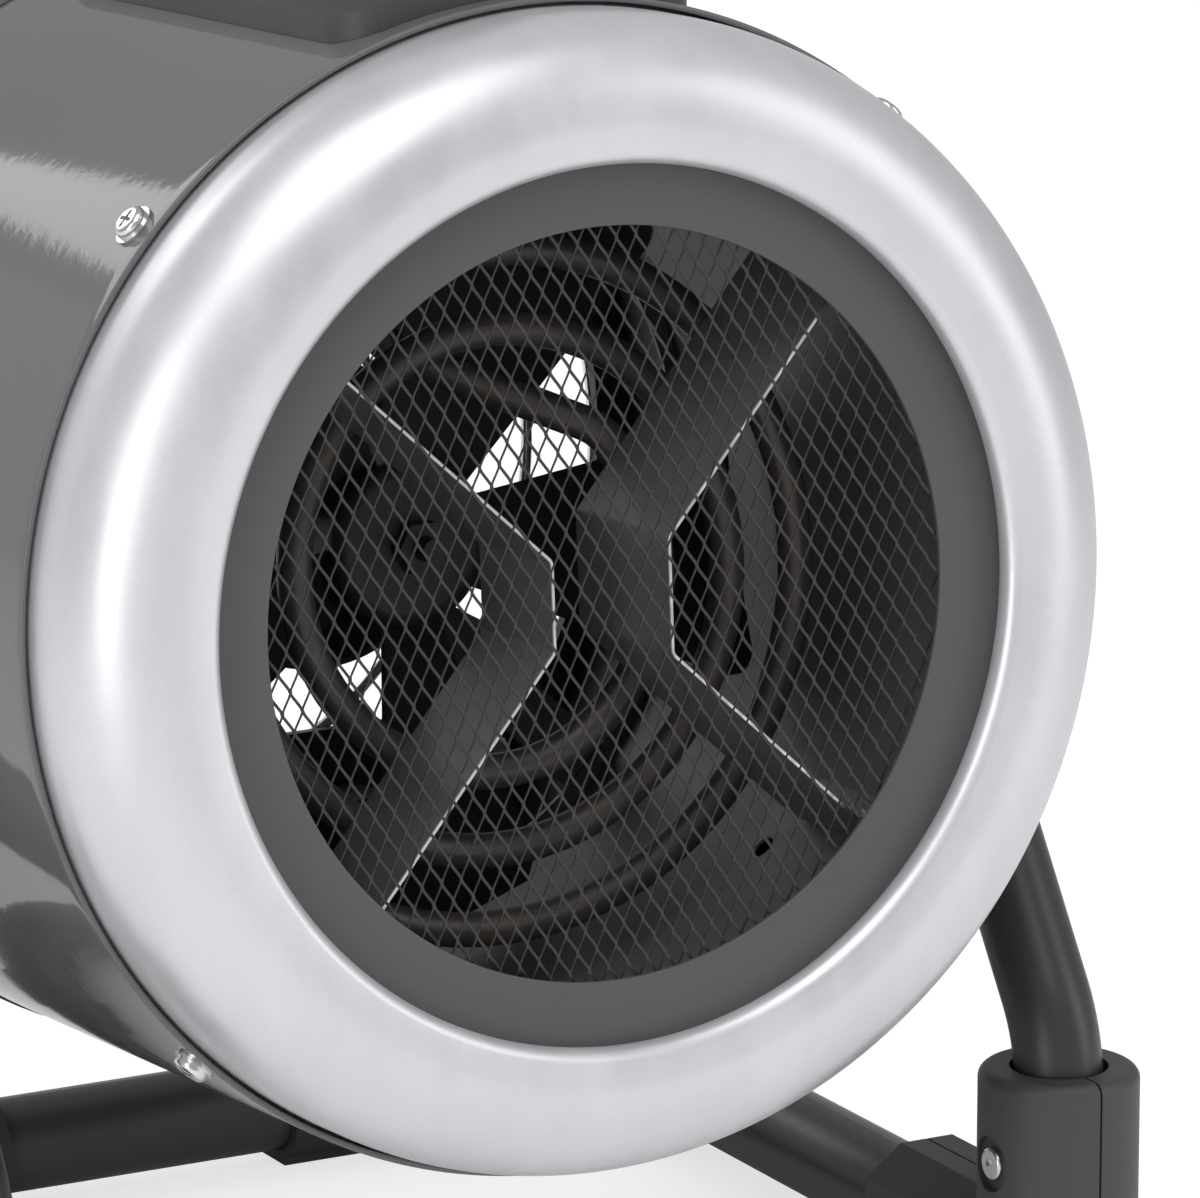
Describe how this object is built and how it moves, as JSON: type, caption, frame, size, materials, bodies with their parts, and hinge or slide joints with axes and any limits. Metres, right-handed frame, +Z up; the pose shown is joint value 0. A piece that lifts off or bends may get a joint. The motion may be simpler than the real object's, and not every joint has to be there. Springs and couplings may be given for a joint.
{
  "type": "electric garage heater",
  "caption": "Round electric fan heater with a mesh outlet and spiral element, tilting on a bent black tube stand.",
  "frame": {"origin": "centre of the underside of the whole object's bounding box, on the floor", "axes": "+X to the right seen from the front, +Y backwards away from the outlet, +Z up"},
  "size_m": [0.3396, 0.2914, 0.4153],
  "materials": {
    "casing_grey": "gloss grey enamel",
    "ring_silver": "satin silver paint",
    "bezel_dark": "satin dark grey paint",
    "mesh_black": "satin black",
    "sheet_steel": "plain coated steel sheet",
    "strip_steel": "dark coated strip with bright cut edges",
    "element_sheath": "dark oxidised sheath",
    "ceramic": "glazed ceramic",
    "zinc": "zinc plated",
    "fan_metal": "pressed sheet",
    "motor_metal": "black painted",
    "tube_black": "satin black powder coat",
    "fitting_plastic": "moulded dark grey",
    "handle_plastic": "textured dark grey",
    "housing_plastic": "moulded dark grey",
    "knob_plastic": "moulded black",
    "rubber_black": "soft black rubber",
    "lamp_red": "clear red lens",
    "button_red": "red"
  },
  "bodies": {
    "root": {"floor_tube": "tube_black", "upright_right": "tube_black", "upright_left": "tube_black", "fitting_inner_right": "fitting_plastic", "fitting_inner_left": "fitting_plastic", "fitting_outer_right": "fitting_plastic", "fitting_outer_left": "fitting_plastic", "fitting_screws": "zinc", "rear_clip_feet": "rubber_black", "front_pads": "rubber_black"},
    "fan": {"fan_wheel": "fan_metal", "fan_nut": "zinc", "motor_shaft": "zinc"},
    "thermostat_knob": {"thermostat_knob": "knob_plastic"},
    "mode_knob": {"mode_knob": "knob_plastic"},
    "reset_button": {"reset_button": "button_red"},
    "tilt_knob_right": {"tilt_knob_right": "knob_plastic"},
    "tilt_knob_left": {"tilt_knob_left": "knob_plastic"},
    "head": {"outer_casing": "casing_grey", "casing_screws": "zinc", "front_ring": "ring_silver", "grille_bezel": "bezel_dark", "front_mesh": "mesh_black", "mesh_retainer": "sheet_steel", "inner_liner": "sheet_steel", "rear_baffle": "sheet_steel", "element_bracket_left": "strip_steel", "element_bracket_right": "strip_steel", "bracket_rivets": "zinc", "heating_element": "element_sheath", "element_bushes": "ceramic", "element_studs": "zinc", "motor_body": "motor_metal", "motor_bracket": "sheet_steel", "motor_bracket_screws": "zinc", "rear_housing": "housing_plastic", "rear_guard": "zinc", "control_panel": "housing_plastic", "thermostat_body": "knob_plastic", "mode_switch_body": "knob_plastic", "pilot_lamp": "lamp_red", "reset_switch": "knob_plastic", "terminal_block": "ceramic", "cord_gland": "knob_plastic", "gland_nut": "knob_plastic", "thermal_cutout": "zinc", "handle_base": "handle_plastic", "handle_grip": "handle_plastic", "handle_screws": "zinc", "pivot_boss_right": "knob_plastic", "pivot_boss_left": "knob_plastic", "pivot_nut_plate_right": "zinc", "pivot_nut_plate_left": "zinc"}
  },
  "joints": [
    {"name": "head_tilt", "type": "hinge", "parent": "root", "child": "head", "pos_m": [0, -0.00359, 0.2043], "axis": [-1, 0, 0], "range_deg": [-15, 45]},
    {"name": "fan_spin", "type": "hinge", "parent": "head", "child": "fan", "pos_m": [0, -0.01955, 0.20542], "axis": [0, 0.9976, -0.0698], "continuous": true},
    {"name": "thermostat_knob", "type": "hinge", "parent": "head", "child": "thermostat_knob", "pos_m": [-0.034, 0.10422, 0.09752], "axis": [0, -0.9976, 0.0698], "range_deg": [0, 270]},
    {"name": "mode_knob", "type": "hinge", "parent": "head", "child": "mode_knob", "pos_m": [0.034, 0.10422, 0.09752], "axis": [0, -0.9976, 0.0698], "range_deg": [0, 135]},
    {"name": "reset_button", "type": "slide", "parent": "head", "child": "reset_button", "axis": [0, -0.9976, 0.0698], "range_m": [0, 0.003], "stiffness_N_per_m": 300},
    {"name": "tilt_knob_right", "type": "hinge", "parent": "head", "child": "tilt_knob_right", "pos_m": [0.147, -0.00359, 0.2043], "axis": [1, 0, 0], "range_deg": [0, 180]},
    {"name": "tilt_knob_left", "type": "hinge", "parent": "head", "child": "tilt_knob_left", "pos_m": [-0.147, -0.00359, 0.2043], "axis": [-1, 0, 0], "range_deg": [0, 180]}
  ]
}
